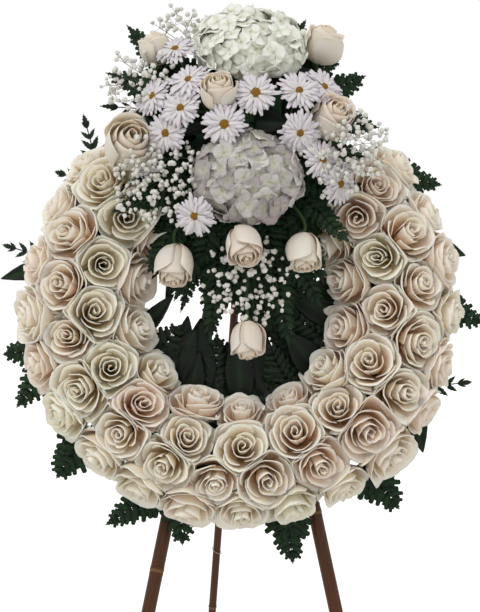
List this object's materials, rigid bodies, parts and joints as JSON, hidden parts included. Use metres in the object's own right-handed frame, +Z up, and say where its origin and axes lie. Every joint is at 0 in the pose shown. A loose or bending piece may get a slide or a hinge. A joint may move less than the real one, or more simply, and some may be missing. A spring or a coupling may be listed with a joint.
{
  "type": "funeral wreath",
  "caption": "Ring of cream roses with a spray of white hydrangeas, daisies, rosebuds, gypsophila and fern at its top, wired to a lashed bamboo tripod easel.",
  "frame": {"origin": "centre of the bounding box's base, on the floor between the three feet", "axes": "+Z up, the flowers face -Y and the single rear pole runs back along +Y, +X to the viewer's right"},
  "size_m": [0.6758, 0.684, 1.3381],
  "materials": {
    "bamboo": "satin",
    "wire": "satin",
    "tray_plastic": "matte",
    "floral_foam": "matte",
    "rose_petal": "satin",
    "hydrangea_petal": "matte",
    "daisy_petal": "matte",
    "gypsophila_white": "matte",
    "fern": "satin",
    "leaf": "satin"
  },
  "bodies": {
    "root": {"base_ring": "tray_plastic", "daisies_centre": "daisy_petal", "daisies_lower_left": "daisy_petal", "daisies_right": "daisy_petal", "daisies_upper_left": "daisy_petal", "fern_hanging_left": "fern", "fern_hanging_right": "fern", "fern_side_left": "fern", "fern_side_right": "fern", "fern_spray_left": "fern", "fern_spray_right": "fern", "foam_ring": "floral_foam", "gypsophila_left": "gypsophila_white", "gypsophila_lower": "gypsophila_white", "gypsophila_right": "gypsophila_white", "gypsophila_top": "gypsophila_white", "gypsophila_upper_left": "gypsophila_white", "head_lashing": "wire", "hydrangea_lower": "hydrangea_petal", "hydrangea_upper": "hydrangea_petal", "leaves_inner": "leaf", "leg_front_left": "bamboo", "leg_front_right": "bamboo", "leg_rear": "bamboo", "rear_leg_wire": "wire", "rim_fern_01": "fern", "rim_fern_02": "fern", "rim_fern_03": "fern", "rim_fern_04": "fern", "rim_fern_05": "fern", "rim_fern_06": "fern", "rim_fern_07": "fern", "rim_fern_08": "fern", "rim_fern_09": "fern", "rim_fern_10": "fern", "rim_fern_11": "fern", "ring_roses_01": "rose_petal", "ring_roses_02": "rose_petal", "ring_roses_03": "rose_petal", "ring_roses_04": "rose_petal", "ring_roses_05": "rose_petal", "ring_roses_06": "rose_petal", "ring_roses_07": "rose_petal", "ring_roses_08": "rose_petal", "rose_centre_left": "rose_petal", "rose_hanging_left": "rose_petal", "rose_hanging_low": "rose_petal", "rose_hanging_middle": "rose_petal", "rose_hanging_right": "rose_petal", "rose_left": "rose_petal", "rose_right": "rose_petal", "rose_top_left": "rose_petal", "rose_top_right": "rose_petal", "spray_foam": "floral_foam", "tie_wire_left": "wire", "tie_wire_right": "wire", "tie_wire_top": "wire"}
  },
  "joints": []
}
